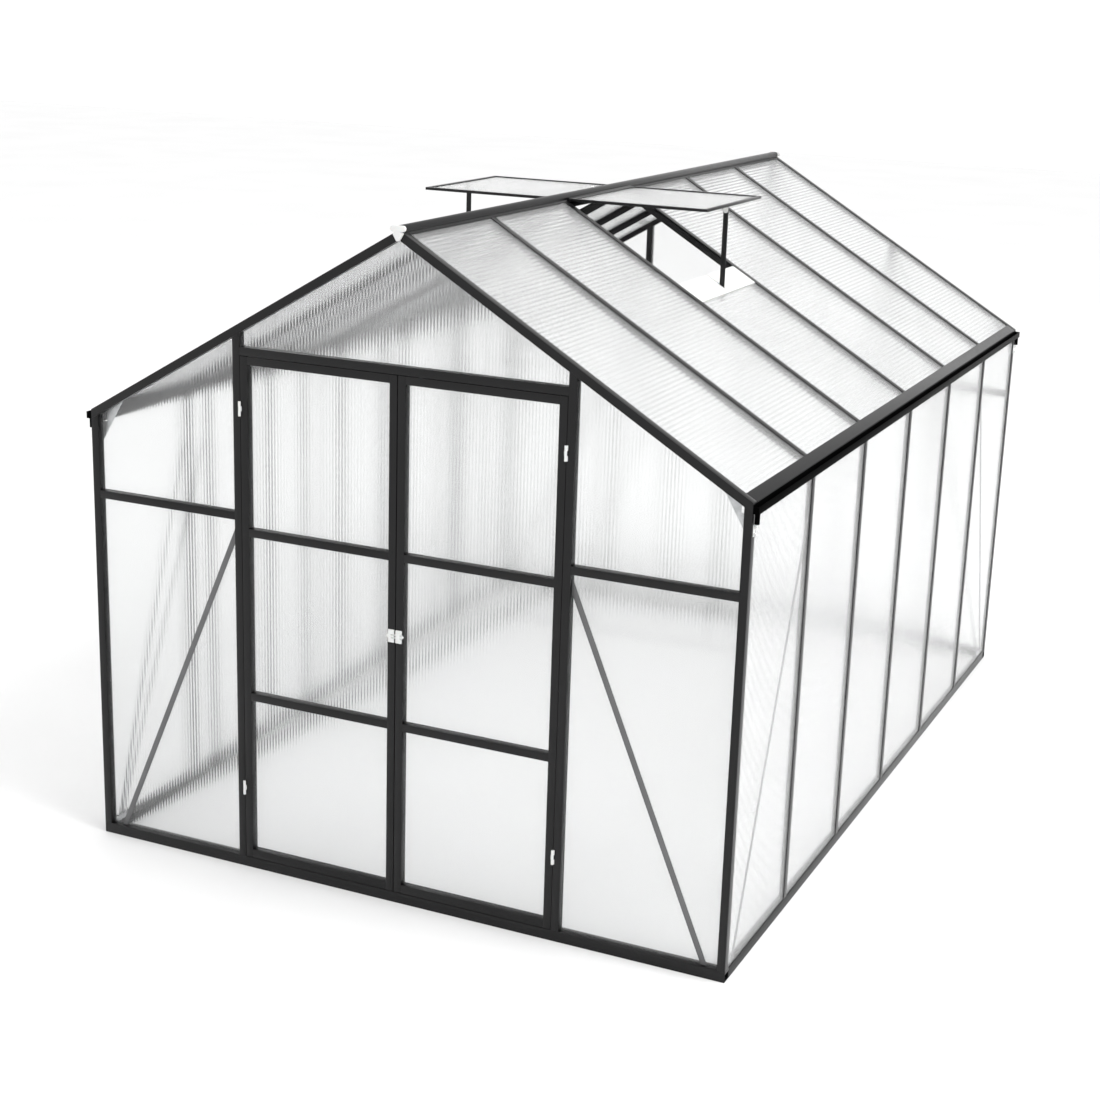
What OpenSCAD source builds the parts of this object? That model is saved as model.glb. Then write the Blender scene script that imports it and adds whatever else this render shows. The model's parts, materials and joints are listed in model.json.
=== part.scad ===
// Walk-in gable greenhouse: extruded frame, twin-wall sheets, double door and two roof vents.
// Front doors face -Y, the ridge runs along Y, and the origin is the middle of the ground plane.

/* [Overall] */
// Width across the outside of the side walls
frame_w = 2440; // [2000:10:3000]
// Centre distance of the glazing bars along the sides
bay = 610; // [500:5:740]
// Number of bays along each side
bays = 6; // [5:1:8]
// Height of the outer eaves corner
eave_h = 1600; // [1500:10:1950]
// Roof pitch in degrees
pitch = 30.5; // [24:0.5:36]

/* [Base and posts] */
// Height of the base rails
base_h = 38; // [30:1:60]
// Depth of the base rails, measured in from the outer face
base_d = 40; // [40:1:60]
// Face width of posts, jambs, rafters and rails
face_w = 28; // [26:1:36]
// Depth of the gable members
gable_d = 30; // [30:1:40]
// Wall thickness of the hollow sections
wall = 2; // [1.5:0.1:3]

/* [Glazing bars] */
// Width of the outer flange of a glazing bar
flange_w = 30; // [26:1:36]
// Thickness of the flanges and lips that hold a sheet
flange_t = 2; // [1.5:0.1:3]
// Thickness of the web between two sheets
web_t = 6; // [4:0.5:8]
// Width of the inner body of a glazing bar
body_w = 16; // [12:1:20]
// Full depth of a glazing bar
bar_d = 32; // [28:1:36]

/* [Sheets] */
// Thickness of the twin-wall sheet
sheet_t = 4; // [4:0.5:6]
// Clearance between a sheet and the slot it sits in
sheet_gap = 0.3; // [0.2:0.05:0.6]
// Depth of the sheet slots in the frame
slot_d = 8; // [6:0.5:10]
// Distance from the gable face to the front of its sheet slot
gable_set = 22; // [20:0.5:24]

/* [Eaves and ridge] */
// Width of the eaves flange along the slope
eave_flange = 40; // [34:1:50]
// Depth of the eaves beam in from the wall face
eave_d = 34; // [34:1:40]
// Height of the eaves beam's outer face
eave_drop = 42; // [38:1:60]
// Distance from the eaves corner to the bottom of the roof sheet slot
eave_stop = 14; // [12:1:16]
// Half width of the ridge core along each slope
core_s = 22; // [20:1:26]
// Length of the ridge's outer lip along each slope, measured from the apex
ridge_lip = 30; // [28:1:36]
// Length of the ridge's inner flange along each slope, measured from the apex
ridge_flange = 52; // [40:1:60]
// Radius of the round ridge capping
bulb_r = 17; // [15:0.5:18]
// Height of the ridge capping above the apex
bulb_rise = 14; // [10:0.5:16]
// Thickness of the plastic ridge end cap
ridge_cap_t = 10; // [10:0.5:14]

/* [Gutters] */
// Width of the gutter
gutter_w = 20; // [16:1:30]
// Height of the gutter
gutter_h = 28; // [22:1:34]
// Wall thickness of the gutter and its end caps
gutter_t = 1.5; // [1.2:0.1:2.5]
// How far the gutter hangs below the eaves corner
gutter_top = 6; // [4:1:8]
// Height difference between the gutter's inner and outer lips
gutter_lip = 4; // [2:1:8]
// Outer radius of a downpipe outlet
outlet_r = 8; // [6:0.5:9]
// Length of a downpipe outlet
outlet_h = 34; // [20:1:50]

/* [Gables] */
// Clear width between the door jambs
door_w = 1204; // [1000:2:1440]
// Underside of the door header
door_top = 1856; // [1500:2:1880]
// Underside of the mid rails in both gables
mid_z = 1284; // [1000:2:1400]
// Centre distance of the back posts
back_pitch = 610; // [450:5:740]
// Width of the flat diagonal braces
brace_w = 20; // [14:1:26]
// Thickness of the flat diagonal braces
brace_t = 3; // [2:0.5:5]

/* [Doors] */
// Running gap around each door leaf
door_gap = 1.5; // [1.2:0.1:3]
// Gap under and over each door leaf
door_lift = 2; // [1:0.5:6]
// Height of the bottom rail of a door
kick_h = 30; // [26:1:60]
// Number of panes in each door leaf
door_panes = 3; // [2:1:4]
// Height of the lower hinges
hinge_low = 305; // [150:5:400]
// Height of the upper hinges
hinge_high = 1675; // [1200:5:1700]
// Length of a hinge barrel
hinge_len = 50; // [40:2:80]
// Radius of a hinge barrel
barrel_r = 4.5; // [4:0.1:6]
// Radius of a hinge pin
pin_r = 2; // [1.5:0.1:2.5]
// Radial clearance of a hinge knuckle on its pin
pin_gap = 0.05; // [0.03:0.01:0.1]
// Height of the latch above the ground
latch_z = 972; // [700:2:1200]
// Height of a latch plate
latch_h = 44; // [36:1:60]
// Width of a latch plate
latch_w = 22; // [18:0.5:24]
// Thickness of a latch plate
latch_t = 6; // [5:0.5:8]

/* [Roof vents] */
// Bay that holds the vents, counted from the front
vent_bay = 3; // [1:1:5]
// Reach of a vent from its hinge axis to its outer edge
vent_reach = 545; // [450:5:700]
// How far the vent covers the bar flanges at each side
vent_lap = 5; // [2:1:10]
// Width of the vent frame rails
vent_rail = 14; // [12:1:20]
// Thickness of the vent frame rails
vent_t = 10; // [9:0.5:14]
// Radius of the round bead that the vent turns on
bead_r = 4; // [3.5:0.1:4.5]
// Clearance between moving parts
move_gap = 0.3; // [0.2:0.05:0.5]
// Width of the stay bar
stay_w = 20; // [16:1:22]
// Thickness of the stay bar
stay_t = 3; // [2:0.5:4]
// Distance of the stay pivot in from the vent's outer edge
stay_inset = 35; // [33:1:60]
// Drop of the stay pivot below the vent's middle plane
stay_drop = 27; // [26:1:34]
// Length of the stay bar between its two holes
stay_l = 330; // [260:5:360]
// Width of the plastic sill along the slope
sill_w = 110; // [90:1:140]
// Thickness of the plastic sill
sill_t = 12; // [11:0.5:16]

/* [Hidden] */
$fn = 48;

frame_colour = "#3a3b3d";
gutter_colour = "#141414";
sheet_colour = [0.93, 0.95, 0.96, 0.45];
plastic_colour = "#f2f2f0";
steel_colour = "#a8abad";

half_w = frame_w / 2;
half_d = bays * bay / 2;
ridge_z = eave_h + half_w * tan(pitch);
slope_len = half_w / cos(pitch);
slot_t = sheet_t + 2 * sheet_gap;
lip_h = flange_t + slot_t;
seat_h = lip_h + flange_t;
eps = 0.01;
far = 6000;

// A point on the right roof slope: s down the slope from the apex, h above the roof plane
function slope_pt(s, h) = [
  s * cos(pitch) + h * sin(pitch),
  ridge_z - s * sin(pitch) + h * cos(pitch)
];
// Height of the plane that lies h above the roof plane, at a distance x from the middle
function roof_z(x, h) = ridge_z + h / cos(pitch) - abs(x) * tan(pitch);
function mirrored(points) = [for (i = [len(points) - 1:-1:0]) [-points[i][0], points[i][1]]];

// Bar positions along Y, and the front and back edge of a bay's clear space between webs
function bar_y(i) = -half_d + i * bay;
sheet_edge = web_t / 2 + sheet_gap;
// Hinge axis of a vent along the slope, and the upper edge of the sill under its outer edge
hinge_s = core_s + bead_r + 1;
sill_s0 = hinge_s + vent_reach - 22;
function sheet_y0(i) = i == 1 ? -half_d + gable_set + sheet_gap : bar_y(i - 1) + sheet_edge;
function sheet_y1(i) = i == bays ? half_d - gable_set - sheet_gap : bar_y(i) - sheet_edge;

// Children drawn on the right are repeated on the left
module both_sides() {
  children();
  mirror([1, 0, 0]) children();
}
module both_ends() {
  children();
  mirror([0, 1, 0]) children();
}
// Local X runs down the right slope from the apex, local Z stands out of the roof
module on_slope() {
  translate([0, 0, ridge_z]) rotate([0, pitch, 0]) children();
}
// A flat outline in X and Z, pushed from y0 to y1
module along_y(y0, y1) {
  translate([0, y1, 0]) rotate([90, 0, 0]) linear_extrude(height = y1 - y0) children();
}
// A flat outline in Y and Z, pushed from x0 to x1
module along_x(x0, x1) {
  translate([x0, 0, 0]) rotate([90, 0, 90]) linear_extrude(height = x1 - x0) children();
}
module box(a, b) {
  translate(a) cube(b - a);
}
// Everything above the two planes that lie h above the roof planes
module roof_zone(h) {
  both_sides() on_slope() box([0, -far / 2, h], [far, far / 2, far]);
}

/* Base frame */
// Slots that run round the top of the base for the lower edges of the wall sheets
module base_slots() {
  z0 = base_h - slot_d;
  z1 = base_h + 1;
  both_sides() box([half_w - lip_h, -half_d + gable_set, z0], [half_w - flange_t, half_d - gable_set, z1]);
  both_sides() box([door_w / 2 + face_w - slot_d, -half_d + gable_set, z0],
                   [half_w - face_w + slot_d, -half_d + gable_set + slot_t, z1]);
  box([-half_w + face_w - slot_d, half_d - gable_set - slot_t, z0],
      [half_w - face_w + slot_d, half_d - gable_set, z1]);
}
anchor_x = half_w - 25;
anchor_y = half_d - 75;
anchor_r = 3.5;
module anchor_holes() {
  both_sides() both_ends() translate([anchor_x, anchor_y, -1]) cylinder(r = anchor_r, h = base_h + 20);
}
// Hollow of a base rail, kept below the sheet slot
module base_hollow(length) {
  along_x(-length / 2, length / 2)
    translate([wall, wall]) square([base_d - 2 * wall, base_h - slot_d - 2 * wall]);
}
module gable_base() {
  color(frame_colour) difference() {
    box([-half_w, -half_d, 0], [half_w, -half_d + base_d, base_h]);
    translate([0, -half_d, 0]) base_hollow(frame_w + 2);
    base_slots();
  }
}
module gable_base_back() {
  color(frame_colour) difference() {
    box([-half_w, half_d - base_d, 0], [half_w, half_d, base_h]);
    translate([0, half_d - base_d, 0]) base_hollow(frame_w + 2);
    base_slots();
  }
}
module side_base() {
  color(frame_colour) difference() {
    box([half_w - base_d, -half_d + base_d, 0], [half_w, half_d - base_d, base_h]);
    translate([half_w, 0, 0]) rotate([0, 0, 90]) base_hollow(2 * half_d);
    base_slots();
    anchor_holes();
  }
}
module base_rail_front() { gable_base(); }
module base_rail_back() { gable_base_back(); }
module base_rail_right() { side_base(); }
module base_rail_left() { mirror([1, 0, 0]) side_base(); }

/* Corner posts */
module corner_post() {
  color(frame_colour) difference() {
    box([half_w - face_w, -half_d, base_h], [half_w, -half_d + gable_d, ridge_z]);
    box([half_w - lip_h, -half_d + gable_set, 0], [half_w - flange_t, -half_d + gable_d + 1, far]);
    box([half_w - face_w - 1, -half_d + gable_set, 0],
        [half_w - face_w + slot_d, -half_d + gable_set + slot_t, far]);
    box([half_w - face_w + wall, -half_d + wall, 0], [half_w - wall, -half_d + gable_set - wall, far]);
    roof_zone(-face_w);
  }
}
module corner_posts_front() { both_sides() corner_post(); }
module corner_posts_back() { mirror([0, 1, 0]) both_sides() corner_post(); }

/* Side glazing bars: outer flange, sheet slots, lip and inner body */
module bar_outline(with_head, with_body) {
  if (with_head) {
    translate([-flange_w / 2, -flange_t]) square([flange_w, flange_t]);
    translate([-flange_w / 2, -seat_h]) square([flange_w, flange_t]);
    translate([-web_t / 2, -seat_h]) square([web_t, seat_h]);
  }
  if (with_body) translate([-body_w / 2, -bar_d]) square([body_w, bar_d - seat_h + eps]);
}
module side_bars() {
  color(frame_colour)
    for (i = [1:bays - 1])
      translate([half_w, bar_y(i), base_h]) rotate([0, 0, -90])
        linear_extrude(height = eave_h - eave_drop - base_h) bar_outline(true, true);
}
module side_bars_right() { side_bars(); }
module side_bars_left() { mirror([1, 0, 0]) side_bars(); }

/* Eaves beams */
eave_pts = [
  slope_pt(slope_len, 0),
  slope_pt(slope_len - eave_flange, 0),
  slope_pt(slope_len - eave_flange, -flange_t),
  slope_pt(slope_len - eave_stop, -flange_t),
  slope_pt(slope_len - eave_stop, -lip_h),
  slope_pt(slope_len - eave_flange, -lip_h),
  slope_pt(slope_len - eave_flange, -seat_h),
  [half_w - eave_d, roof_z(half_w - eave_d, -seat_h)],
  [half_w - eave_d, eave_h - eave_drop],
  [half_w - lip_h, eave_h - eave_drop],
  [half_w - lip_h, eave_h - eave_drop + slot_d],
  [half_w - flange_t, eave_h - eave_drop + slot_d],
  [half_w - flange_t, eave_h - eave_drop],
  [half_w, eave_h - eave_drop]
];
module eave_beam() {
  color(frame_colour) difference() {
    along_y(-half_d + gable_d, half_d - gable_d) polygon(eave_pts);
    box([half_w - eave_d + wall, -half_d, eave_h - eave_drop + wall],
        [half_w - lip_h - wall, half_d, eave_h - seat_h]);
  }
}
module eave_beam_right() { eave_beam(); }
module eave_beam_left() { mirror([1, 0, 0]) eave_beam(); }

/* Gutters */
gutter_z1 = eave_h - gutter_top;
gutter_z0 = gutter_z1 - gutter_h;
outlet_x = half_w + gutter_w / 2;
outlet_y = half_d - 16;
gutter_y = half_d - gutter_t;
module gutter_floors() {
  color(gutter_colour) both_sides() difference() {
    box([half_w, -gutter_y, gutter_z0], [half_w + gutter_w, gutter_y, gutter_z0 + gutter_t]);
    both_ends() translate([outlet_x, outlet_y, gutter_z0 - 1])
      cylinder(r = outlet_r - gutter_t, h = gutter_t + 2);
  }
}
// Inner wall against the eaves beam, and the lower outer wall
module gutter_walls() {
  color(gutter_colour) both_sides() {
    box([half_w, -gutter_y, gutter_z0 + gutter_t], [half_w + gutter_t, gutter_y, gutter_z1]);
    box([half_w + gutter_w - gutter_t, -gutter_y, gutter_z0 + gutter_t],
        [half_w + gutter_w, gutter_y, gutter_z1 - gutter_lip]);
  }
}
module gutter_end_caps() {
  color(gutter_colour) both_sides() both_ends()
    box([half_w, half_d - gutter_t, gutter_z0], [half_w + gutter_w, half_d, gutter_z1 - gutter_lip]);
}
module downpipe_outlets() {
  color(gutter_colour) both_sides() both_ends() translate([outlet_x, outlet_y, gutter_z0 - outlet_h])
    difference() {
      cylinder(r = outlet_r, h = outlet_h);
      translate([0, 0, -1]) cylinder(r = outlet_r - gutter_t, h = outlet_h + 2);
    }
}
// White clip below each outlet: a back plate on the post and two eyes
clip_w = 12;
clip_h = 38;
clip_t = 2;
clip_eye_r = 5;
module outlet_clips() {
  z1 = gutter_z0 - outlet_h - 2;
  color(plastic_colour) both_sides() both_ends() translate([half_w, outlet_y - clip_w / 2, z1 - clip_h]) {
    cube([clip_t, clip_w, clip_h]);
    for (z = [clip_eye_r + 2, clip_h - clip_eye_r - 2])
      translate([clip_eye_r + clip_t - 1, 2, z]) rotate([-90, 0, 0]) difference() {
        cylinder(r = clip_eye_r, h = clip_w - 4);
        translate([0, 0, -1]) cylinder(r = clip_eye_r - 2.5, h = clip_w);
      }
  }
}

/* Ridge */
core_pts = concat(
  [slope_pt(core_s, 0), [0, ridge_z]],
  mirrored([slope_pt(core_s, -face_w), slope_pt(core_s, 0)]),
  [slope_pt(core_s, -face_w)]
);
module ridge_outline() {
  polygon(core_pts);
  translate([0, ridge_z + bulb_rise - bulb_r]) circle(r = bulb_r);
}
module ridge_beam() {
  color(frame_colour) {
    along_y(-half_d, half_d) difference() {
      ridge_outline();
      translate([0, ridge_z + bulb_rise - bulb_r]) circle(r = bulb_r - 4);
    }
    both_sides() on_slope() {
      box([core_s - eps, -half_d + gable_d, -flange_t], [ridge_lip, half_d - gable_d, 0]);
      box([core_s - eps, -half_d + gable_d, -lip_h - flange_t], [ridge_flange, half_d - gable_d, -lip_h]);
    }
  }
}
// End cap: a rounded bar across the top of the ridge core
cap_lobe_r = 10;
cap_lobe_x = 17;
module ridge_cap_outline() {
  polygon(core_pts);
  translate([0, ridge_z + bulb_rise - cap_lobe_r]) {
    translate([-cap_lobe_x, -cap_lobe_r]) square([2 * cap_lobe_x, 2 * cap_lobe_r]);
    both_sides() translate([cap_lobe_x, 0]) circle(r = cap_lobe_r);
  }
}
module ridge_end_caps() {
  color(plastic_colour) both_ends() along_y(-half_d - ridge_cap_t, -half_d) ridge_cap_outline();
}

/* Gable rafters */
rafter_pts = [
  slope_pt(core_s, 0),
  [half_w, eave_h],
  [half_w, roof_z(half_w, -face_w)],
  slope_pt(core_s, -face_w)
];
module rafter() {
  color(frame_colour) difference() {
    along_y(-half_d, -half_d + gable_d) polygon(rafter_pts);
    on_slope() {
      box([0, -half_d + gable_set, -face_w - 1],
          [far, -half_d + gable_set + slot_t, -face_w + slot_d]);
      box([core_s - 1, -half_d + gable_set, -lip_h], [slope_len - eave_stop, -half_d + gable_d + 1, -flange_t]);
      box([-1, -half_d + wall, -face_w + wall], [far, -half_d + gable_set - wall, -seat_h]);
    }
  }
}
module front_rafters() { both_sides() rafter(); }
module back_rafters() { mirror([0, 1, 0]) both_sides() rafter(); }

/* Roof glazing bars, flush with the flanges of the ridge and the eaves */
module roof_bars() {
  color(frame_colour) for (i = [1:bays - 1]) translate([0, bar_y(i), 0]) {
    on_slope() {
      along_x(ridge_flange, slope_len - eave_flange) bar_outline(true, false);
      box([ridge_lip, -flange_w / 2, -flange_t], [ridge_flange + eps, flange_w / 2, 0]);
      box([ridge_lip, -web_t / 2, -lip_h], [ridge_flange + eps, web_t / 2, eps - flange_t]);
    }
    intersection() {
      on_slope() along_x(core_s, slope_len) bar_outline(false, true);
      box([0, -bay, 0], [half_w - eave_d, bay, far]);
    }
  }
}
module roof_bars_right() { roof_bars(); }
module roof_bars_left() { mirror([1, 0, 0]) roof_bars(); }

/* Front gable */
jamb_x = door_w / 2;
header_z = door_top + face_w;
slot_y0 = -half_d + gable_set;
slot_y1 = slot_y0 + slot_t;
module gable_slot(x0, x1, z0, z1) {
  box([x0, slot_y0, z0], [x1, slot_y1, z1]);
}
// Upright of a gable with a sheet slot down each side
module gable_post(x0, z0) {
  color(frame_colour) difference() {
    box([x0, -half_d, z0], [x0 + face_w, -half_d + gable_d, ridge_z]);
    gable_slot(x0 - 1, x0 + slot_d, 0, far);
    gable_slot(x0 + face_w - slot_d, x0 + face_w + 1, 0, far);
    box([x0 + wall, -half_d + wall, 0], [x0 + face_w - wall, slot_y0 - wall, far]);
    roof_zone(-face_w);
    along_y(-half_d - 1, -half_d + gable_d + 1) polygon(core_pts);
  }
}
// Level rail of a gable with a sheet slot along the top and, where asked, the underside
module gable_rail(x0, x1, z0, under) {
  color(frame_colour) difference() {
    box([x0, -half_d, z0], [x1, -half_d + gable_d, z0 + face_w]);
    gable_slot(x0 - 1, x1 + 1, z0 + face_w - slot_d, z0 + face_w + 1);
    if (under) gable_slot(x0 - 1, x1 + 1, z0 - 1, z0 + slot_d);
    box([x0 - 1, -half_d + wall, z0 + wall], [x1 + 1, slot_y0 - wall, z0 + face_w - wall]);
  }
}
module door_jambs() { both_sides() gable_post(jamb_x, base_h); }
module door_header() { gable_rail(-jamb_x, jamb_x, door_top, false); }
module front_mid_rails() { both_sides() gable_rail(jamb_x + face_w, half_w - face_w, mid_z, true); }

/* Back gable */
module back_posts() {
  mirror([0, 1, 0]) for (i = [-1:1]) gable_post(i * back_pitch - face_w / 2, base_h);
}
module back_mid_rails() {
  mirror([0, 1, 0]) both_sides() {
    gable_rail(face_w / 2, back_pitch - face_w / 2, mid_z, true);
    gable_rail(back_pitch + face_w / 2, half_w - face_w, mid_z, true);
  }
}

/* Flat diagonal braces, trimmed to the opening that each one crosses */
// Outline of a brace from a to b inside the window lo to hi
module brace_outline(a, b, lo, hi) {
  run = b - a;
  intersection() {
    translate(a) rotate(atan2(run[1], run[0])) translate([-brace_w, -brace_w / 2])
      square([norm(run) + 2 * brace_w, brace_w]);
    translate(lo) square(hi - lo);
  }
}
brace_set = 15;
brace_foot = 50;
brace_head = 40;
module gable_brace(x0) {
  x1 = half_w - face_w;
  color(frame_colour) along_y(-half_d + brace_set, -half_d + brace_set + brace_t)
    brace_outline([x0, mid_z - brace_head], [x1 - brace_foot, base_h], [x0, base_h], [x1, mid_z]);
}
module front_braces() { both_sides() gable_brace(jamb_x + face_w); }
module back_braces() { mirror([0, 1, 0]) both_sides() gable_brace(back_pitch + face_w / 2); }
side_brace_set = seat_h + 1.4;
side_brace_top = 130;
module side_braces() {
  y0 = -half_d + gable_d;
  y1 = bar_y(1) - body_w / 2;
  z1 = eave_h - eave_drop;
  color(frame_colour) both_sides() both_ends()
    along_x(half_w - side_brace_set - brace_t, half_w - side_brace_set)
      brace_outline([y0 + brace_foot, base_h], [y1, z1 - side_brace_top], [y0, base_h], [y1, z1]);
}

/* Plates and bolts that hold the corners */
plate_t = 3;
gusset_leg = 70;
bolt_r = 5;
bolt_h = 4;
gusset_x = half_w - seat_h - 1;
gusset_z = eave_h - eave_drop - 1;
gusset_run = slope_len - eave_flange - 8;
gusset_pts = [
  [gusset_x, gusset_z],
  [gusset_x, gusset_z - gusset_leg],
  [half_w - face_w + 2, gusset_z - gusset_leg],
  slope_pt(gusset_run - gusset_leg, -face_w + 2),
  slope_pt(gusset_run - gusset_leg, -seat_h - 2),
  slope_pt(gusset_run, -seat_h - 2),
  [slope_pt(gusset_run, -seat_h - 2)[0], gusset_z]
];
module gusset_plates() {
  color(steel_colour) both_sides() both_ends()
    along_y(-half_d + gable_d, -half_d + gable_d + plate_t) polygon(gusset_pts);
}
plate_x0 = half_w - base_d + 2;
plate_x1 = half_w - side_brace_set - brace_t - 0.4;
plate_y0 = half_d - 110;
plate_y1 = half_d - gable_d - 0.5;
module base_corner_plates() {
  color(steel_colour) difference() {
    both_sides() both_ends() box([plate_x0, plate_y0, base_h], [plate_x1, plate_y1, base_h + plate_t]);
    anchor_holes();
  }
}
module hex_head() {
  cylinder(r = bolt_r, h = bolt_h, $fn = 6);
}
module frame_bolts() {
  bolt_x = (plate_x0 + plate_x1) / 2 - 5;
  post_x = half_w - face_w / 2 - 4;
  rafter_at = slope_pt(gusset_run - gusset_leg + 14, -face_w / 2 - 2);
  color(steel_colour) both_sides() both_ends() {
    for (y = [plate_y0 + 12, plate_y1 - 9]) translate([bolt_x, y, base_h + plate_t]) hex_head();
    for (at = [[post_x, gusset_z - 30], [post_x, gusset_z - gusset_leg + 14], rafter_at])
      translate([at[0], -half_d + gable_d + plate_t, at[1]]) rotate([-90, 0, 0]) hex_head();
  }
}

/* Twin-wall sheets */
module wall_sheets() {
  color(sheet_colour) for (i = [1:bays])
    box([half_w - lip_h + sheet_gap, sheet_y0(i), base_h - slot_d + sheet_gap],
        [half_w - flange_t - sheet_gap, sheet_y1(i), eave_h - eave_drop + slot_d - sheet_gap]);
}
module wall_sheets_right() { wall_sheets(); }
module wall_sheets_left() { mirror([1, 0, 0]) wall_sheets(); }

module roof_sheets() {
  color(sheet_colour) on_slope() for (i = [1:bays])
    box([i == vent_bay ? sill_s0 + sill_w - slot_d + sheet_gap : core_s + 2, sheet_y0(i), -lip_h + sheet_gap],
        [slope_len - eave_stop - sheet_gap, sheet_y1(i), -flange_t - sheet_gap]);
}
module roof_sheets_right() { roof_sheets(); }
module roof_sheets_left() { mirror([1, 0, 0]) roof_sheets(); }

// Gable sheet between x0 and x1, from z0 up into the rafter slots or to z1
sheet_top_h = -face_w + slot_d - sheet_gap;
apex_z = slope_pt(core_s, -face_w)[1] - 1;
apex_x = (roof_z(0, sheet_top_h) - apex_z) / tan(pitch);
function top_z(x) = min(roof_z(x, sheet_top_h), apex_z);
module gable_sheet(x0, x1, z0, z1 = far) {
  tops = [for (x = [x1, apex_x, -apex_x, x0]) if (x <= x1 && x >= x0) [x, min(top_z(x), z1)]];
  color(sheet_colour) along_y(slot_y0 + sheet_gap, slot_y1 - sheet_gap)
    polygon(concat([[x0, z0], [x1, z0]], tops));
}
// Edge of a sheet pushed into a slot that opens at a
function into(a, way) = a + way * (slot_d - sheet_gap);
module split_sheet(x0, x1) {
  gable_sheet(into(x0, -1), into(x1, 1), into(base_h, -1), into(mid_z, 1));
  gable_sheet(into(x0, -1), into(x1, 1), into(mid_z + face_w, -1));
}
module front_sheets() {
  both_sides() split_sheet(jamb_x + face_w, half_w - face_w);
  gable_sheet(into(-jamb_x, -1), into(jamb_x, 1), into(header_z, -1));
}
module back_sheets() {
  mirror([0, 1, 0]) both_sides() {
    split_sheet(face_w / 2, back_pitch - face_w / 2);
    split_sheet(back_pitch + face_w / 2, half_w - face_w);
  }
}

/* Roof vents */
// Hinge axis of a vent in the frame
ring_t = 2;
hinge_h = bead_r + move_gap + ring_t + 0.2;
hinge_at = slope_pt(hinge_s, hinge_h);
vent_y = bar_y(vent_bay) - bay / 2;
vent_w = bay - flange_w + 2 * vent_lap;
mouth = 27;
module vent_hinge_channel() {
  ring_r = bead_r + move_gap + ring_t;
  on_slope() along_y(vent_y - vent_w / 2, vent_y + vent_w / 2) translate([hinge_s, hinge_h]) difference() {
    union() {
      circle(r = ring_r);
      translate([-bead_r, -hinge_h]) square([bead_r + 1, hinge_h + ring_r]);
    }
    circle(r = bead_r + move_gap);
    polygon([
      [0, 0],
      3 * ring_r * [cos(mouth), -sin(mouth)],
      3 * ring_r * [cos(pitch / 2), sin(pitch / 2)],
      3 * ring_r * [cos(pitch + mouth), sin(pitch + mouth)]
    ]);
  }
}
module vent_hinge_channels() { color(frame_colour) both_sides() vent_hinge_channel(); }

// Vent parts are drawn open and level, with X measured out from the hinge axis
module at_vent() {
  translate([hinge_at[0], vent_y, hinge_at[1]]) children();
}
neck_t = 3;
neck_l = 8;
rail_slot = vent_rail / 2;
module vent_slot() {
  x0 = neck_l + vent_rail - rail_slot;
  box([x0, -vent_w / 2 + vent_rail - rail_slot, -slot_t / 2],
      [vent_reach - vent_rail + rail_slot, vent_w / 2 - vent_rail + rail_slot, slot_t / 2]);
}
module vent_frame() {
  color(frame_colour) at_vent() difference() {
    union() {
      rotate([90, 0, 0]) cylinder(r = bead_r, h = vent_w, center = true);
      box([0, -vent_w / 2, -neck_t / 2], [neck_l + eps, vent_w / 2, neck_t / 2]);
      box([neck_l, -vent_w / 2, -vent_t / 2], [neck_l + vent_rail, vent_w / 2, vent_t / 2]);
    }
    vent_slot();
  }
  color(frame_colour) at_vent() difference() {
    box([vent_reach - vent_rail, -vent_w / 2, -vent_t / 2], [vent_reach, vent_w / 2, vent_t / 2]);
    vent_slot();
  }
  color(frame_colour) at_vent() both_ends() difference() {
    box([neck_l + vent_rail, vent_w / 2 - vent_rail, -vent_t / 2],
        [vent_reach - vent_rail, vent_w / 2, vent_t / 2]);
    vent_slot();
  }
}
module vent_frame_right() { vent_frame(); }
module vent_frame_left() { mirror([1, 0, 0]) vent_frame(); }
module vent_sheet() {
  side = vent_w / 2 - vent_rail + rail_slot - sheet_gap;
  color(sheet_colour) at_vent()
    box([neck_l + vent_rail - rail_slot + sheet_gap, -side, -sheet_t / 2],
        [vent_reach - vent_rail + rail_slot - sheet_gap, side, sheet_t / 2]);
}
module vent_sheet_right() { vent_sheet(); }
module vent_sheet_left() { mirror([1, 0, 0]) vent_sheet(); }

// Stay bar: pivots on the vent's bracket, hangs plumb and drops through a notch in the sill
pivot_r = 3;
pivot_at = hinge_at + [vent_reach - stay_inset, -stay_drop];
module stay_outline() {
  difference() {
    union() {
      circle(r = stay_w / 2);
      translate([-stay_w / 2, -stay_l]) square([stay_w, stay_l]);
      translate([0, -stay_l]) circle(r = stay_w / 2);
    }
    for (z = [0, -stay_l]) translate([0, z]) circle(r = pivot_r + move_gap);
  }
}
module vent_stay() {
  color(frame_colour) translate([pivot_at[0], vent_y, pivot_at[1]])
    along_y(-stay_t / 2, stay_t / 2) stay_outline();
}
module vent_stay_right() { vent_stay(); }
module vent_stay_left() { mirror([1, 0, 0]) vent_stay(); }

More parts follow.
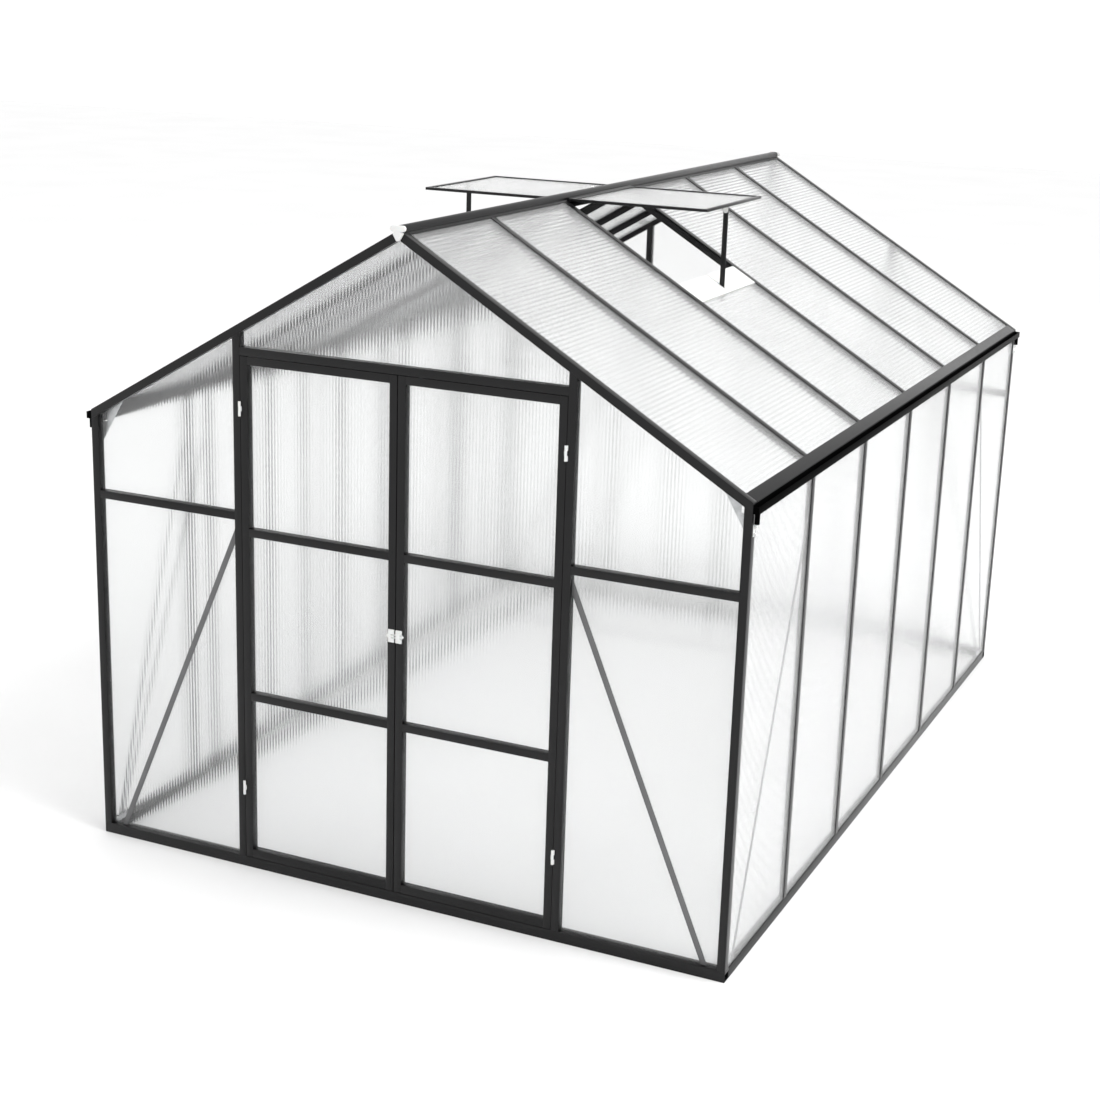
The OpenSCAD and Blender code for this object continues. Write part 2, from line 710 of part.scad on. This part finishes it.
// Plastic sill under the vent's outer edge, with an ear and a peg for the foot of the stay
peg_gap = 0.5;
notch_gap = 2;
notch_w = stay_t + 2 * notch_gap;
notch_s1 = (pivot_at[0] + stay_w / 2 + sill_t * sin(pitch)) / cos(pitch) + notch_gap;
ear_t = 4;
ear_r = 6;
ear_y = stay_t / 2 + 5.5;
ear_top = roof_z(pivot_at[0] - ear_r, -sill_t) - (pivot_at[1] - stay_l);
module vent_sill() {
  y1 = bay / 2 - flange_w / 2;
  color(plastic_colour) translate([0, vent_y, 0]) {
    on_slope() difference() {
      box([sill_s0, -y1, -sill_t], [sill_s0 + sill_w, y1, 0]);
      box([sill_s0 + sill_w - slot_d, -far, -lip_h], [sill_s0 + sill_w + 1, far, -flange_t]);
      box([sill_s0 - 1, -notch_w / 2, -far], [notch_s1, notch_w / 2, far]);
    }
    translate([pivot_at[0], 0, pivot_at[1] - stay_l]) {
      along_y(ear_y, ear_y + ear_t) {
        circle(r = ear_r);
        polygon([[-ear_r, 0], [ear_r, 0], [ear_r, ear_top - 2 * ear_r * tan(pitch) + 2], [-ear_r, ear_top + 2]]);
      }
      translate([0, stay_t / 2 + peg_gap, 0]) rotate([-90, 0, 0])
        cylinder(r = pivot_r, h = ear_y - stay_t / 2 - peg_gap + eps);
    }
  }
}
module vent_sills() { both_sides() vent_sill(); }

// Plastic bracket inside the outer rail, with the pin that carries the stay
bracket_w = 18;
bracket_l = 17;
head_r = 5;
module vent_bracket() {
  foot_z = -vent_t / 2;
  ear_y1 = -stay_t / 2 - 0.5;
  color(plastic_colour) at_vent() translate([vent_reach - stay_inset, 0, 0]) {
    box([-bracket_w / 2, -bracket_l, foot_z], [stay_inset - vent_rail, 1, -slot_t / 2 - 0.1]);
    along_y(ear_y1 - ear_t, ear_y1) {
      translate([0, -stay_drop]) circle(r = bracket_w / 2);
      translate([-bracket_w / 2, -stay_drop]) square([bracket_w, stay_drop + foot_z + eps]);
    }
    translate([0, 0, -stay_drop]) rotate([-90, 0, 0]) {
      translate([0, 0, ear_y1 - eps]) cylinder(r = pivot_r, h = stay_t / 2 + move_gap - ear_y1 + 2 * eps);
      translate([0, 0, stay_t / 2 + move_gap]) cylinder(r = head_r, h = 2);
    }
  }
}
module vent_bracket_right() { vent_bracket(); }
module vent_bracket_left() { mirror([1, 0, 0]) vent_bracket(); }

/* Door leaves */
leaf_x0 = door_gap;
leaf_x1 = jamb_x - door_gap;
leaf_z0 = base_h + door_lift;
leaf_z1 = door_top - door_lift;
pane_h = (leaf_z1 - leaf_z0 - kick_h - door_panes * face_w) / door_panes;
function pane_z(i) = leaf_z0 + kick_h + i * (pane_h + face_w);
module stile(x0, slot_side) {
  color(frame_colour) difference() {
    box([x0, -half_d, leaf_z0], [x0 + face_w, -half_d + gable_d, leaf_z1]);
    if (slot_side > 0) gable_slot(x0 + face_w - slot_d, x0 + face_w + 1, 0, far);
    else gable_slot(x0 - 1, x0 + slot_d, 0, far);
    box([x0 + wall, -half_d + wall, 0], [x0 + face_w - wall, slot_y0 - wall, far]);
  }
}
module door_stiles() {
  stile(leaf_x0, 1);
  stile(leaf_x1 - face_w, -1);
}
module door_rails() {
  x0 = leaf_x0 + face_w;
  x1 = leaf_x1 - face_w;
  color(frame_colour) for (i = [0:door_panes]) {
    z0 = i == 0 ? leaf_z0 : pane_z(i - 1) + pane_h;
    z1 = i == 0 ? leaf_z0 + kick_h : z0 + face_w;
    difference() {
      box([x0, -half_d, z0], [x1, -half_d + gable_d, z1]);
      if (i < door_panes) gable_slot(x0 - 1, x1 + 1, z1 - slot_d, z1 + 1);
      if (i > 0) gable_slot(x0 - 1, x1 + 1, z0 - 1, z0 + slot_d);
      box([x0 - 1, -half_d + wall, z0 + wall], [x1 + 1, slot_y0 - wall, z1 - wall]);
    }
  }
}
module door_panes() {
  for (i = [0:door_panes - 1])
    gable_sheet(into(leaf_x0 + face_w, -1), into(leaf_x1 - face_w, 1),
                into(pane_z(i), -1), into(pane_z(i) + pane_h, 1));
}
module door_stiles_right() { door_stiles(); }
module door_stiles_left() { mirror([1, 0, 0]) door_stiles(); }
module door_rails_right() { door_rails(); }
module door_rails_left() { mirror([1, 0, 0]) door_rails(); }
module door_panes_right() { door_panes(); }
module door_panes_left() { mirror([1, 0, 0]) door_panes(); }

/* Door hinges: the jamb half carries the pin, the leaf half turns on it */
axis_x = jamb_x - door_gap / 2;
axis_y = -half_d - barrel_r - 0.5;
knuckle = (hinge_len - 2 * move_gap) / 3;
foot_in = 0.95;
foot_out = 5.75;
module knuckle_foot(way, z0, h) {
  x0 = way > 0 ? foot_in : -foot_out;
  box([x0, 0, z0], [x0 + foot_out - foot_in, -half_d - axis_y, z0 + h]);
}
module jamb_hinge(z) {
  translate([axis_x, axis_y, z - hinge_len / 2]) {
    cylinder(r = pin_r, h = hinge_len);
    for (z0 = [0, 2 * (knuckle + move_gap)]) {
      translate([0, 0, z0]) cylinder(r = barrel_r, h = knuckle);
      knuckle_foot(1, z0, knuckle);
    }
  }
}
module jamb_hinges() {
  color(plastic_colour) both_sides() for (z = [hinge_low, hinge_high]) jamb_hinge(z);
}
module door_hinges() {
  color(plastic_colour) for (z = [hinge_low, hinge_high])
    translate([axis_x, axis_y, z - hinge_len / 2]) difference() {
      union() {
        translate([0, 0, knuckle + move_gap]) cylinder(r = barrel_r, h = knuckle);
        knuckle_foot(-1, knuckle + move_gap, knuckle);
      }
      translate([0, 0, -1]) cylinder(r = pin_r + pin_gap, h = hinge_len + 2);
    }
}
module door_hinges_right() { door_hinges(); }
module door_hinges_left() { mirror([1, 0, 0]) door_hinges(); }

/* Latch: a plate on each leaf and a two-pronged sliding bolt */
latch_x0 = 3;
lug = 8;
prong_z = 5;
prong_h = 4.5;
prong_t = 3;
prong_y1 = -half_d - 2;
prong_y0 = prong_y1 - prong_t;
bolt_grip = 12;
bolt_x0 = latch_x0 + 5;
module latch_outline() {
  x1 = latch_x0 + latch_w;
  polygon([
    [latch_x0, -latch_h / 2], [x1, -latch_h / 2], [x1, -lug], [x1 + lug, 0],
    [x1, lug], [x1, latch_h / 2], [latch_x0, latch_h / 2]
  ]);
}
// Plate with two grooves, open at the front, that run from the inner edge to x1
module latch_half(x1) {
  difference() {
    translate([0, 0, latch_z]) along_y(-half_d - latch_t, -half_d) latch_outline();
    for (z = [-prong_z, prong_z]) translate([0, 0, latch_z + z])
      box([latch_x0 - 1, -half_d - latch_t - 1, -prong_h / 2 - move_gap],
          [x1, prong_y1 + move_gap, prong_h / 2 + move_gap]);
  }
}
module latch_plate() { color(plastic_colour) latch_half(far); }
module latch_keeper() { color(plastic_colour) mirror([1, 0, 0]) latch_half(latch_x0 + 11); }
module latch_bolt() {
  front = -half_d - latch_t - move_gap;
  color(plastic_colour) translate([0, 0, latch_z]) {
    for (z = [-prong_z, prong_z]) {
      box([-latch_x0 + 0.4, prong_y0, z - prong_h / 2], [bolt_x0 + bolt_grip, prong_y1, z + prong_h / 2]);
      box([bolt_x0, front - eps, z - prong_h / 2], [bolt_x0 + bolt_grip, prong_y0 + eps, z + prong_h / 2]);
    }
    box([bolt_x0, front - plate_t, -latch_h / 4], [bolt_x0 + bolt_grip, front, latch_h / 4]);
  }
}

base_rail_front();
base_rail_back();
base_rail_left();
base_rail_right();
corner_posts_front();
corner_posts_back();
side_bars_left();
side_bars_right();
eave_beam_left();
eave_beam_right();
gutter_floors();
gutter_walls();
gutter_end_caps();
downpipe_outlets();
outlet_clips();
ridge_beam();
ridge_end_caps();
front_rafters();
back_rafters();
roof_bars_left();
roof_bars_right();
door_jambs();
door_header();
front_mid_rails();
back_posts();
back_mid_rails();
front_braces();
side_braces();
back_braces();
gusset_plates();
base_corner_plates();
frame_bolts();
wall_sheets_left();
wall_sheets_right();
front_sheets();
back_sheets();
roof_sheets_left();
roof_sheets_right();
vent_sills();
vent_hinge_channels();
jamb_hinges();
vent_frame_left();
vent_frame_right();
vent_sheet_left();
vent_sheet_right();
vent_bracket_left();
vent_bracket_right();
vent_stay_left();
vent_stay_right();
door_stiles_left();
door_stiles_right();
door_rails_left();
door_rails_right();
door_panes_left();
door_panes_right();
door_hinges_left();
door_hinges_right();
latch_keeper();
latch_plate();
latch_bolt();
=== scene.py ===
import bmesh
import bpy
import json
import math
from mathutils import Matrix, Vector


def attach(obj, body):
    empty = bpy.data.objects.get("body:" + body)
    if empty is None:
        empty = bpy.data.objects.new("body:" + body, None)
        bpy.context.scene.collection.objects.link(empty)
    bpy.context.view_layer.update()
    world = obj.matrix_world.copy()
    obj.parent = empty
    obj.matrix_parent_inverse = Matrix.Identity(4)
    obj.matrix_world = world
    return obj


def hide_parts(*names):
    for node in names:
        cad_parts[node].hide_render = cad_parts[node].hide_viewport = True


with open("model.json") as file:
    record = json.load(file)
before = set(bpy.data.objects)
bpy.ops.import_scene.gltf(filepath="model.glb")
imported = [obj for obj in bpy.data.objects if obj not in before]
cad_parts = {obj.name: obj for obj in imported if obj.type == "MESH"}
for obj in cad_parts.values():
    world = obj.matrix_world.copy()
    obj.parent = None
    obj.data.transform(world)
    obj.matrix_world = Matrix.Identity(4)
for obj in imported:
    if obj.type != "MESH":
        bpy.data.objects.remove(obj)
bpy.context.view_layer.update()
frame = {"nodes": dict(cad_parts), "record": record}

bodyOf = {}
for bodyName, nodeNames in frame["record"]["behaviour"]["bodies"].items():
    for nodeName in nodeNames:
        bodyOf[nodeName] = bodyName
upright = Vector((0, 0, 1))
print("frame loaded:", len(bodyOf), "nodes")


# Camera: where it stands, where it looks and how far it leans
cameraSettings = {
    "position": (3.028, -7.265, 3.087),
    "azimuth": 24.46,
    "elevation": 16.18,
    "lean": 1.81,
    "lens": 64.3,
    "reach": 100,
}


def placeCamera(settings):
    azimuth = math.radians(settings["azimuth"])
    elevation = math.radians(settings["elevation"])
    lean = math.radians(settings["lean"])
    back = Vector((
        math.sin(azimuth) * math.cos(elevation),
        -math.cos(azimuth) * math.cos(elevation),
        math.sin(elevation),
    ))
    level = upright.cross(back).normalized()
    rise = back.cross(level)
    side = level * math.cos(lean) + rise * math.sin(lean)
    top = rise * math.cos(lean) - level * math.sin(lean)
    lens = bpy.data.cameras.new("viewCamera")
    lens.lens = settings["lens"]
    lens.clip_end = settings["reach"]
    camera = bpy.data.objects.new("viewCamera", lens)
    turn = Matrix((side, top, back)).transposed().to_4x4()
    camera.matrix_world = Matrix.Translation(settings["position"]) @ turn
    bpy.context.collection.objects.link(camera)
    bpy.context.scene.camera = camera


placeCamera(cameraSettings)
print("camera placed")


# Finishes. Patterns read Object coordinates, in metres. A finish may have patches of its low
# and high tints, a roughness that drifts between two values, and a fine grain as a bump.
powderCoat = {
    "tintNoise": {"scale": 9},
    "roughNoise": {"scale": 60},
    "roughness": (0.26, 0.36),
    "grainNoise": {"scale": 1400, "detail": 2},
    "bump": {"Strength": 0.12, "Distance": 0.0002},
}
finishes = {
    "charcoalPowder": {
        **powderCoat,
        "low": (0.004, 0.004, 0.0042),
        "high": (0.006, 0.006, 0.0064),
        "sockets": {"IOR": 1.34},
    },
    "greyPowder": {
        **powderCoat,
        "low": (0.105, 0.105, 0.107),
        "high": (0.13, 0.13, 0.133),
        "sockets": {"IOR": 1.4},
    },
    "blackPowder": {
        **powderCoat,
        "low": (0.001, 0.001, 0.001),
        "high": (0.002, 0.002, 0.002),
        "sockets": {"IOR": 1.04},
    },
    "whitePlastic": {
        "low": (0.66, 0.66, 0.65),
        "high": (0.71, 0.71, 0.7),
        "tintNoise": {"scale": 18},
        "roughNoise": {"scale": 120},
        "roughness": (0.34, 0.46),
        "grainNoise": {"scale": 260, "detail": 4},
        "bump": {"Strength": 0.08, "Distance": 0.0003},
        "sockets": {"Subsurface Weight": 0.05},
    },
    "platedSteel": {
        "low": (0.42, 0.43, 0.44),
        "high": (0.60, 0.61, 0.62),
        "tintNoise": {"scale": 40},
        "roughNoise": {"scale": 900, "detail": 2, "stretch": (1, 1, 8)},
        "roughness": (0.28, 0.45),
        "sockets": {"Metallic": 1.0},
    },
    "twinWall": {
        "high": (0.955, 0.96, 0.96),
        "roughNoise": {"scale": 5},
        "roughness": (0.2, 0.25),
        "sockets": {"Transmission Weight": 0.92, "IOR": 1.15, "Alpha": 0.9},
    },
    "paleFloor": {
        "low": (0.83, 0.83, 0.83),
        "high": (0.86, 0.86, 0.86),
        "tintNoise": {"scale": 0.8},
        "sockets": {"Roughness": 0.7},
    },
}
noiseSettings = {
    "detail": 3.0,
    "darkBelow": 0.3,
    "lightAbove": 0.7,
}


def addNoise(material, scale, detail=noiseSettings["detail"], stretch=(1, 1, 1)):
    nodes = material.node_tree.nodes
    join = material.node_tree.links.new
    place = nodes.new("ShaderNodeTexCoord")
    sizing = nodes.new("ShaderNodeMapping")
    sizing.inputs["Scale"].default_value = stretch
    noise = nodes.new("ShaderNodeTexNoise")
    noise.inputs["Scale"].default_value = scale
    noise.inputs["Detail"].default_value = detail
    join(place.outputs["Object"], sizing.inputs["Vector"])
    join(sizing.outputs["Vector"], noise.inputs["Vector"])
    return noise.outputs["Fac"]


def tintByNoise(material, shader, noise, low, high):
    join = material.node_tree.links.new
    ramp = material.node_tree.nodes.new("ShaderNodeValToRGB")
    dark, light = ramp.color_ramp.elements
    dark.position = noiseSettings["darkBelow"]
    light.position = noiseSettings["lightAbove"]
    dark.color = (*low, 1)
    light.color = (*high, 1)
    join(noise, ramp.inputs["Fac"])
    join(ramp.outputs["Color"], shader.inputs["Base Color"])


def roughByNoise(material, shader, noise, low, high):
    join = material.node_tree.links.new
    spread = material.node_tree.nodes.new("ShaderNodeMapRange")
    spread.inputs["To Min"].default_value = low
    spread.inputs["To Max"].default_value = high
    join(noise, spread.inputs["Value"])
    join(spread.outputs["Result"], shader.inputs["Roughness"])


def bumpByNoise(material, shader, noise, bumpInputs):
    join = material.node_tree.links.new
    bump = material.node_tree.nodes.new("ShaderNodeBump")
    for socket, value in bumpInputs.items():
        bump.inputs[socket].default_value = value
    join(noise, bump.inputs["Height"])
    join(bump.outputs["Normal"], shader.inputs["Normal"])


def makeMaterial(name, finish):
    material = bpy.data.materials.new(name)
    material.use_nodes = True
    material.diffuse_color = (*finish["high"], 1)
    shader = material.node_tree.nodes["Principled BSDF"]
    shader.inputs["Base Color"].default_value = (*finish["high"], 1)
    for socket, value in finish["sockets"].items():
        shader.inputs[socket].default_value = value
    if "tintNoise" in finish:
        patches = addNoise(material, **finish["tintNoise"])
        tintByNoise(material, shader, patches, finish["low"], finish["high"])
    if "roughNoise" in finish:
        smears = addNoise(material, **finish["roughNoise"])
        roughByNoise(material, shader, smears, *finish["roughness"])
    if "grainNoise" in finish:
        grain = addNoise(material, **finish["grainNoise"])
        bumpByNoise(material, shader, grain, finish["bump"])
    return material


materials = {name: makeMaterial(name, finish) for name, finish in finishes.items()}
print("materials made:", len(materials))


# Turns a finished bmesh into a piece that rides with its node's body
def finishPiece(shape, name, material, node):
    mesh = bpy.data.meshes.new(name)
    shape.to_mesh(mesh)
    shape.free()
    mesh.materials.append(material)
    piece = bpy.data.objects.new(name, mesh)
    bpy.context.collection.objects.link(piece)
    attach(piece, bodyOf[node])
    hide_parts(node)


# Adds one bmesh to another, and frees it
def joinShape(shape, addition):
    mesh = bpy.data.meshes.new("addition")
    addition.to_mesh(mesh)
    addition.free()
    shape.from_mesh(mesh)
    bpy.data.meshes.remove(mesh)


# Points nearer than distance become one, and faces that meet within flatAngle degrees become one
mergeSettings = {
    "distance": 0.00002,
    "flatAngle": 0.5,
}


# A copy of a node's mesh with its loose triangles joined into whole faces
def mergedCopy(node, settings):
    shape = bmesh.new()
    shape.from_mesh(frame["nodes"][node].data)
    bmesh.ops.remove_doubles(shape, verts=shape.verts, dist=settings["distance"])
    bmesh.ops.dissolve_limit(
        shape, angle_limit=math.radians(settings["flatAngle"]),
        verts=shape.verts, edges=shape.edges)
    return shape


# The separate solids of a shape, as lists of vertices. Dictionaries keep the order the same each run.
def islandsOf(shape):
    left = dict.fromkeys(shape.verts)
    islands = []
    while left:
        first = next(iter(left))
        del left[first]
        waiting = [first]
        island = []
        while waiting:
            vert = waiting.pop()
            island.append(vert)
            for edge in vert.link_edges:
                other = edge.other_vert(vert)
                if other in left:
                    del left[other]
                    waiting.append(other)
        islands.append(island)
    return islands


# Extruded, moulded and pressed parts keep their outline and gain softened edges.
# Outer edges turning more than sharpAngle degrees are rounded, and turns under smoothAngle look smooth.
edgeSettings = {
    "sharpAngle": 40,
    "smoothAngle": 24,
    "segments": 2,
}
partFinish = {
    "charcoal": {
        "material": "charcoalPowder",
        "edge": 0.0006,
        "nodes": [
            "base_rail_front", "base_rail_back", "base_rail_left", "base_rail_right",
            "corner_posts_front", "corner_posts_back", "side_bars_left", "side_bars_right",
            "eave_beam_left", "eave_beam_right", "ridge_beam", "front_rafters", "back_rafters",
            "roof_bars_left", "roof_bars_right", "door_jambs", "door_header", "front_mid_rails",
            "back_posts", "back_mid_rails",
            "vent_hinge_channels", "vent_frame_left", "vent_frame_right",
            "vent_stay_left", "vent_stay_right", "door_stiles_left", "door_stiles_right",
            "door_rails_left", "door_rails_right",
        ],
    },
    "grey": {
        "material": "greyPowder",
        "edge": 0.0004,
        "nodes": ["front_braces", "side_braces", "back_braces"],
    },
    "black": {
        "material": "blackPowder",
        "edge": 0.0004,
        "nodes": ["gutter_floors", "gutter_walls", "gutter_end_caps", "downpipe_outlets"],
    },
    "white": {
        "material": "whitePlastic",
        "edge": 0.0005,
        "nodes": [
            "outlet_clips", "ridge_end_caps", "vent_sills", "vent_bracket_left", "vent_bracket_right",
            "jamb_hinges", "door_hinges_left", "door_hinges_right",
            "latch_keeper", "latch_plate", "latch_bolt",
        ],
    },
    "steel": {
        "material": "platedSteel",
        "edge": 0.0004,
        "nodes": ["gusset_plates", "base_corner_plates"],
    },
}


def softenEdges(shape, width, settings):
    sharpAngle = math.radians(settings["sharpAngle"])
    smoothAngle = math.radians(settings["smoothAngle"])
    edges = [
        edge for edge in shape.edges
        if edge.is_manifold and edge.calc_face_angle_signed(0) > sharpAngle
    ]
    bmesh.ops.bevel(
        shape, geom=edges, offset=width, offset_type="OFFSET", segments=settings["segments"],
        profile=0.5, affect="EDGES", material=-1, clamp_overlap=True)
    for edge in shape.edges:
        edge.smooth = edge.is_manifold and edge.calc_face_angle(0) < smoothAngle
    for face in shape.faces:
        face.smooth = True


for finishName, parts in partFinish.items():
    for partNode in parts["nodes"]:
        softened = mergedCopy(partNode, mergeSettings)
        softenEdges(softened, parts["edge"], edgeSettings)
        finishPiece(softened, partNode + "_softened", materials[parts["material"]], partNode)
    print(finishName, "parts softened:", len(parts["nodes"]))


# Twin-wall sheets: flat outside, with ribs on the inside that stand upright on walls
# and run level on roofs. A sheet counts as a roof when its outer side looks up by more
# than roofLook, and as level when upright crossed with that side is shorter than levelCross.
sheetSettings = {
    "wallPitch": 0.012,
    "roofPitch": 0.018,
    "ribDepth": 0.0013,
    "roofLook": 0.3,
    "levelCross": 0.1,
    "squareCut": 0.999,
    "houseMiddle": (0, 0, 1),
    "nodes": [
        "wall_sheets_left", "wall_sheets_right", "front_sheets", "back_sheets",
        "roof_sheets_left", "roof_sheets_right", "vent_sheet_left", "vent_sheet_right",
        "door_panes_left", "door_panes_right",
    ],
}


# The turn from the frame to a sheet's own axes: across its ribs, along them and outwards
def sheetAxes(faces, island, settings):
    out = max(faces, key=lambda face: face.calc_area()).normal.copy()
    middle = sum((vert.co for vert in island), Vector()) / len(island)
    if out.dot(middle - Vector(settings["houseMiddle"])) < 0:
        out.negate()
    across = upright.cross(out)
    if across.length < settings["levelCross"]:
        across = Vector((0, 1, 0))
    across.normalize()
    if out.z > settings["roofLook"]:
        across = across.cross(out)
    return Matrix((across, out.cross(across), out))


# A block one unit each way, its underside a row of ribs
def makeRibbedBlock(ribs, ribDepth):
    block = bmesh.new()
    bmesh.ops.create_grid(block, x_segments=2 * ribs, y_segments=1, size=0.5)
    for vert in block.verts:
        row = round((vert.co.x + 0.5) * 2 * ribs)
        vert.co.z = 0 if row % 2 else ribDepth
    grown = bmesh.ops.extrude_face_region(block, geom=list(block.faces))["geom"]
    for item in grown:
        if isinstance(item, bmesh.types.BMVert):
            item.co.z = 1
    bmesh.ops.translate(block, verts=block.verts, vec=(0.5, 0.5, 0))
    return block


# Cuts a block back along the sheet's slanting sides: those whose normals have no part over squareCut
def cutSlants(block, faces, toSheet, settings):
    for face in faces:
        normal = toSheet @ face.normal
        if max(abs(along) for along in normal) < settings["squareCut"]:
            bmesh.ops.bisect_plane(
                block, geom=block.verts[:] + block.edges[:] + block.faces[:],
                plane_co=toSheet @ face.verts[0].co, plane_no=normal, clear_outer=True)
            openEdges = [edge for edge in block.edges if edge.is_boundary]
            bmesh.ops.holes_fill(block, edges=openEdges)


def addRibbedSheet(shape, island, settings):
    faces = list(dict.fromkeys(face for vert in island for face in vert.link_faces))
    toSheet = sheetAxes(faces, island, settings)
    corners = [toSheet @ vert.co for vert in island]
    low = Vector([min(corner[i] for corner in corners) for i in range(3)])
    high = Vector([max(corner[i] for corner in corners) for i in range(3)])
    size = high - low
    out = toSheet[2]
    pitch = settings["roofPitch"] if out.z > settings["roofLook"] else settings["wallPitch"]
    block = makeRibbedBlock(round(size.x / pitch), settings["ribDepth"] / size.z)
    bmesh.ops.scale(block, verts=block.verts, vec=size)
    bmesh.ops.translate(block, verts=block.verts, vec=low)
    cutSlants(block, faces, toSheet, settings)
    bmesh.ops.transform(block, matrix=toSheet.transposed().to_4x4(), verts=block.verts)
    bmesh.ops.recalc_face_normals(block, faces=block.faces)
    joinShape(shape, block)


for sheetNode in sheetSettings["nodes"]:
    plain = mergedCopy(sheetNode, mergeSettings)
    ribbed = bmesh.new()
    for island in islandsOf(plain):
        addRibbedSheet(ribbed, island, sheetSettings)
    plain.free()
    finishPiece(ribbed, sheetNode + "_ribbed", materials["twinWall"], sheetNode)
print("twin-wall sheets ribbed:", len(sheetSettings["nodes"]))


# Hexagon bolts: washer, chamfered head and the end of the thread, stacked from the seat up
boltSettings = {
    "washer": {"radius": 0.0072, "base": 0, "top": 0.0008, "sides": 28, "chamfer": 0.0002},
    "head": {"radius": 0.005, "base": 0.0008, "top": 0.0038, "sides": 6, "chamfer": 0.0006},
    "thread": {"radius": 0.0028, "base": 0.0038, "top": 0.004, "sides": 16, "chamfer": 0.00005},
    "chamferSegments": 2,
}


def addCylinder(shape, sizes, chamferSegments):
    height = sizes["top"] - sizes["base"]
    middle = sizes["base"] + height / 2
    made = bmesh.ops.create_cone(
        shape, cap_ends=True, segments=sizes["sides"],
        radius1=sizes["radius"], radius2=sizes["radius"], depth=height)
    bmesh.ops.translate(shape, verts=made["verts"], vec=(0, 0, middle))
    topEdges = dict.fromkeys(
        edge for vert in made["verts"] for edge in vert.link_edges
        if min(end.co.z for end in edge.verts) > middle)
    bmesh.ops.bevel(
        shape, geom=list(topEdges), offset=sizes["chamfer"], segments=chamferSegments,
        profile=0.5, affect="EDGES", material=-1)


def makeBolt(settings):
    bolt = bmesh.new()
    for section in ("washer", "head", "thread"):
        addCylinder(bolt, settings[section], settings["chamferSegments"])
    mesh = bpy.data.meshes.new("boltShape")
    bolt.to_mesh(mesh)
    bolt.free()
    return mesh


# Sets a bolt on the seat of one plain bolt. It points up, or out of a gable's inner side.
def placeBolt(shape, island, boltMesh):
    spans = [[vert.co[i] for vert in island] for i in range(3)]
    middle = Vector([(min(span) + max(span)) / 2 for span in spans])
    depths = [max(span) - min(span) for span in spans]
    if depths[1] < depths[2]:
        way = Vector((0, -math.copysign(1, middle.y), 0))
        seat = middle - way * depths[1] / 2
    else:
        way = upright
        seat = middle - way * depths[2] / 2
    bolt = bmesh.new()
    bolt.from_mesh(boltMesh)
    turn = way.to_track_quat("Z", "Y").to_matrix().to_4x4()
    bmesh.ops.transform(bolt, matrix=Matrix.Translation(seat) @ turn, verts=bolt.verts)
    joinShape(shape, bolt)


boltMesh = makeBolt(boltSettings)
plainBolts = mergedCopy("frame_bolts", mergeSettings)
hexBolts = bmesh.new()
for island in islandsOf(plainBolts):
    placeBolt(hexBolts, island, boltMesh)
plainBolts.free()
finishPiece(hexBolts, "hex_bolts", materials["platedSteel"], "frame_bolts")
bpy.data.meshes.remove(boltMesh)
print("bolts made")


# Floor, one large soft light and an even pale surrounding
studioSettings = {
    "floorSize": 60,
    "floorDrop": 0.0005,
    "worldStrength": 1.15,
    "keyPower": 880,
    "keySize": 6,
    "keyPlace": (7.5, -2.0, 8.5),
    "keyAim": (0, 0, 1),
}


def addFloor(settings):
    ground = bmesh.new()
    bmesh.ops.create_grid(ground, x_segments=1, y_segments=1, size=settings["floorSize"] / 2)
    bmesh.ops.translate(ground, verts=ground.verts, vec=(0, 0, -settings["floorDrop"]))
    mesh = bpy.data.meshes.new("floor")
    ground.to_mesh(mesh)
    ground.free()
    mesh.materials.append(materials["paleFloor"])
    floor = bpy.data.objects.new("floor", mesh)
    bpy.context.collection.objects.link(floor)


def addWorld(settings):
    world = bpy.data.worlds.new("paleWorld")
    bpy.context.scene.world = world
    world.use_nodes = True
    sky = world.node_tree.nodes["Background"]
    sky.inputs["Color"].default_value = (1, 1, 1, 1)
    sky.inputs["Strength"].default_value = settings["worldStrength"]


def addKeyLight(settings):
    lamp = bpy.data.lights.new("keyLight", "AREA")
    lamp.energy = settings["keyPower"]
    lamp.size = settings["keySize"]
    light = bpy.data.objects.new("keyLight", lamp)
    light.location = settings["keyPlace"]
    aim = Vector(settings["keyAim"]) - Vector(settings["keyPlace"])
    light.rotation_euler = aim.to_track_quat("-Z", "Y").to_euler()
    bpy.context.collection.objects.link(light)


addFloor(studioSettings)
addWorld(studioSettings)
addKeyLight(studioSettings)
bpy.context.scene.view_settings.view_transform = "Standard"
print("studio built")
